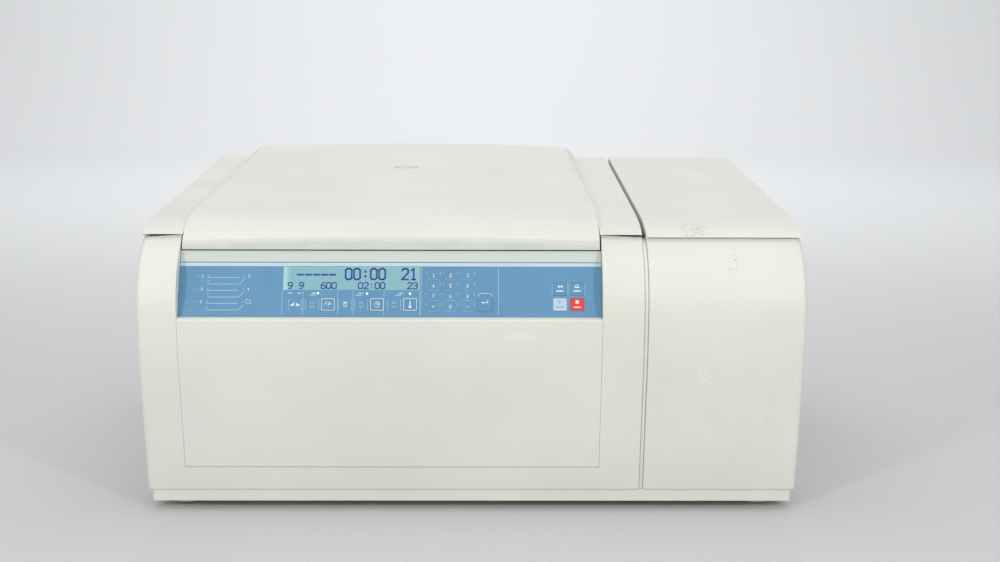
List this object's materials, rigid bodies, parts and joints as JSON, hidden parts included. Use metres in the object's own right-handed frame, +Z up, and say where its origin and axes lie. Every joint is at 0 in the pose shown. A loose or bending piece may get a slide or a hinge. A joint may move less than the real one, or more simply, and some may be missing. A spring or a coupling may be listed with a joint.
{
  "type": "laboratory centrifuge",
  "caption": "Refrigerated bench-top laboratory centrifuge, closed lid over a swing-out rotor, slanted keypad console in front and a cooling unit at its side",
  "frame": {"origin": "on the bench plane, below the middle of the housing's outline", "axes": "+X to the operator's right, +Y to the rear, +Z up"},
  "size_m": [0.746, 0.676, 0.3575],
  "materials": {
    "cream_moulding": "fine-textured moulded plastic, warm cream",
    "cream_sheet": "powder-coated sheet steel, warm cream",
    "deck": "moulded plastic, cream",
    "grey_moulding": "moulded plastic, light grey",
    "keypad_foil": "printed polyester foil, blue",
    "key_blue": "printed foil key, blue with white outline",
    "key_light": "printed foil key, light blue",
    "key_red": "printed foil key, red",
    "display": "backlit liquid-crystal display, teal",
    "glass": "clear inspection window",
    "steel": "zinc-plated or ground steel",
    "stainless": "spun stainless steel",
    "black_paint": "black enamel",
    "rubber": "black silicone rubber",
    "aluminium": "machined, clear-anodised",
    "black_plastic": "black glass-filled nylon",
    "lock_button": "red moulded plastic"
  },
  "bodies": {
    "housing": {"front_frame": "cream_moulding", "unit_front_cover": "cream_moulding", "top_cover": "cream_moulding", "unit_top_cover": "cream_moulding", "lower_front_panel": "cream_sheet", "left_side_panel": "cream_sheet", "unit_side_panel": "cream_sheet", "rear_panel": "cream_sheet", "bulkhead": "cream_sheet", "base_pan": "cream_sheet", "inner_deck": "deck", "console_body": "grey_moulding", "foot_front_left": "grey_moulding", "foot_front_right": "grey_moulding", "foot_rear_left": "grey_moulding", "foot_rear_right": "grey_moulding", "keypad_foil": "keypad_foil", "display_window": "display", "hinge_bracket_left": "steel", "hinge_bracket_right": "steel", "armour_ring": "steel", "motor_mount": "steel", "rotor_chamber": "stainless", "compressor": "black_paint", "chamber_seal": "rubber", "drive_motor": "aluminium", "condenser": "aluminium", "latch_drive": "black_plastic", "power_inlet": "black_plastic"},
    "lid": {"lid_shell": "cream_moulding", "lid_front_strip": "grey_moulding", "lid_liner": "grey_moulding", "sight_glass": "glass", "lid_striker_left": "steel", "lid_striker_right": "steel", "hinge_leaf_left": "steel", "hinge_leaf_right": "steel"},
    "latch": {"latch_bar": "steel"},
    "rotor": {"motor_shaft": "steel", "rotor_yoke": "aluminium"},
    "lock_button": {"rotor_lock_button": "lock_button"},
    "fan": {"condenser_fan": "black_plastic"},
    "switch": {"power_switch": "black_plastic"},
    "plug": {"release_plug": "grey_moulding"},
    "strut_rod_left": {"gas_spring_rod_left": "steel"},
    "strut_cylinder_left": {"gas_spring_cylinder_left": "black_paint"},
    "strut_rod_right": {"gas_spring_rod_right": "steel"},
    "strut_cylinder_right": {"gas_spring_cylinder_right": "black_paint"},
    "swing_right": {"bucket_right": "aluminium"},
    "swing_rear": {"bucket_rear": "aluminium"},
    "swing_left": {"bucket_left": "aluminium"},
    "swing_front": {"bucket_front": "aluminium"},
    "key_pulse": {"key_pulse": "key_blue"},
    "key_open": {"key_open": "key_blue"},
    "key_start": {"key_start": "key_light"},
    "key_stop": {"key_stop": "key_red"},
    "key_speed": {"key_speed": "key_blue"},
    "key_time": {"key_time": "key_blue"},
    "key_temp": {"key_temp": "key_blue"},
    "key_enter": {"key_enter": "key_blue"}
  },
  "joints": [
    {"name": "lid_hinge", "type": "hinge", "parent": "housing", "child": "lid", "pos_m": [-0.0912, 0.332, 0.34], "axis": [-1, 0, 0], "range_deg": [0, 72]},
    {"name": "latch_turn", "type": "hinge", "parent": "housing", "child": "latch", "pos_m": [-0.092, -0.236, 0.238], "axis": [1, 0, 0], "range_deg": [0, 24]},
    {"name": "rotor_spin", "type": "hinge", "parent": "housing", "child": "rotor", "pos_m": [-0.092, 0.1, 0.215], "axis": [0, 0, 1], "continuous": true},
    {"name": "rotor_lock_press", "type": "slide", "parent": "rotor", "child": "lock_button", "axis": [0, 0, -1], "range_m": [0, 0.0035], "stiffness_N_per_m": 800, "springref_m": -0.002},
    {"name": "fan_spin", "type": "hinge", "parent": "housing", "child": "fan", "pos_m": [0.2849, 0.296, 0.18], "axis": [0, 1, 0], "continuous": true},
    {"name": "switch_rock", "type": "hinge", "parent": "housing", "child": "switch", "pos_m": [-0.255, 0.329, 0.073], "axis": [-1, 0, 0], "range_deg": [0, 14]},
    {"name": "release_pull", "type": "slide", "parent": "housing", "child": "plug", "axis": [-1, 0, 0], "range_m": [0, 0.045]},
    {"name": "strut_swing_left", "type": "hinge", "parent": "lid", "child": "strut_rod_left", "pos_m": [-0.3165, 0.266, 0.314], "axis": [-1, 0, 0], "range_deg": [-80, 5]},
    {"name": "strut_extend_left", "type": "slide", "parent": "strut_rod_left", "child": "strut_cylinder_left", "axis": [0, -0.2519, -0.9677], "range_m": [0, 0.09]},
    {"name": "strut_swing_right", "type": "hinge", "parent": "lid", "child": "strut_rod_right", "pos_m": [0.1341, 0.266, 0.314], "axis": [-1, 0, 0], "range_deg": [-80, 5]},
    {"name": "strut_extend_right", "type": "slide", "parent": "strut_rod_right", "child": "strut_cylinder_right", "axis": [0, -0.2519, -0.9677], "range_m": [0, 0.09]},
    {"name": "swing_right", "type": "hinge", "parent": "rotor", "child": "swing_right", "pos_m": [0.003, 0.1, 0.215], "axis": [0, -1, 0], "range_deg": [0, 90]},
    {"name": "swing_rear", "type": "hinge", "parent": "rotor", "child": "swing_rear", "pos_m": [-0.092, 0.195, 0.215], "axis": [1, 0, 0], "range_deg": [0, 90]},
    {"name": "swing_left", "type": "hinge", "parent": "rotor", "child": "swing_left", "pos_m": [-0.187, 0.1, 0.215], "axis": [0, 1, 0], "range_deg": [0, 90]},
    {"name": "swing_front", "type": "hinge", "parent": "rotor", "child": "swing_front", "pos_m": [-0.092, 0.005, 0.215], "axis": [-1, 0, 0], "range_deg": [0, 90]},
    {"name": "key_pulse_press", "type": "slide", "parent": "housing", "child": "key_pulse", "axis": [0, 0.8919, -0.4523], "range_m": [0, 0.0006], "stiffness_N_per_m": 1500, "springref_m": -0.0004},
    {"name": "key_open_press", "type": "slide", "parent": "housing", "child": "key_open", "axis": [0, 0.8919, -0.4523], "range_m": [0, 0.0006], "stiffness_N_per_m": 1500, "springref_m": -0.0004},
    {"name": "key_start_press", "type": "slide", "parent": "housing", "child": "key_start", "axis": [0, 0.8919, -0.4523], "range_m": [0, 0.0006], "stiffness_N_per_m": 1500, "springref_m": -0.0004},
    {"name": "key_stop_press", "type": "slide", "parent": "housing", "child": "key_stop", "axis": [0, 0.8919, -0.4523], "range_m": [0, 0.0006], "stiffness_N_per_m": 1500, "springref_m": -0.0004},
    {"name": "key_speed_press", "type": "slide", "parent": "housing", "child": "key_speed", "axis": [0, 0.8919, -0.4523], "range_m": [0, 0.0006], "stiffness_N_per_m": 1500, "springref_m": -0.0004},
    {"name": "key_time_press", "type": "slide", "parent": "housing", "child": "key_time", "axis": [0, 0.8919, -0.4523], "range_m": [0, 0.0006], "stiffness_N_per_m": 1500, "springref_m": -0.0004},
    {"name": "key_temp_press", "type": "slide", "parent": "housing", "child": "key_temp", "axis": [0, 0.8919, -0.4523], "range_m": [0, 0.0006], "stiffness_N_per_m": 1500, "springref_m": -0.0004},
    {"name": "key_enter_press", "type": "slide", "parent": "housing", "child": "key_enter", "axis": [0, 0.8919, -0.4523], "range_m": [0, 0.0006], "stiffness_N_per_m": 1500, "springref_m": -0.0004}
  ],
  "couplings": [
    {"joint": "strut_swing_left", "follows": "lid_hinge", "ratio": -1.0306},
    {"joint": "strut_extend_left", "follows": "lid_hinge", "m_per_rad": 0.06636},
    {"joint": "strut_swing_right", "follows": "lid_hinge", "ratio": -1.0306},
    {"joint": "strut_extend_right", "follows": "lid_hinge", "m_per_rad": 0.06636}
  ]
}
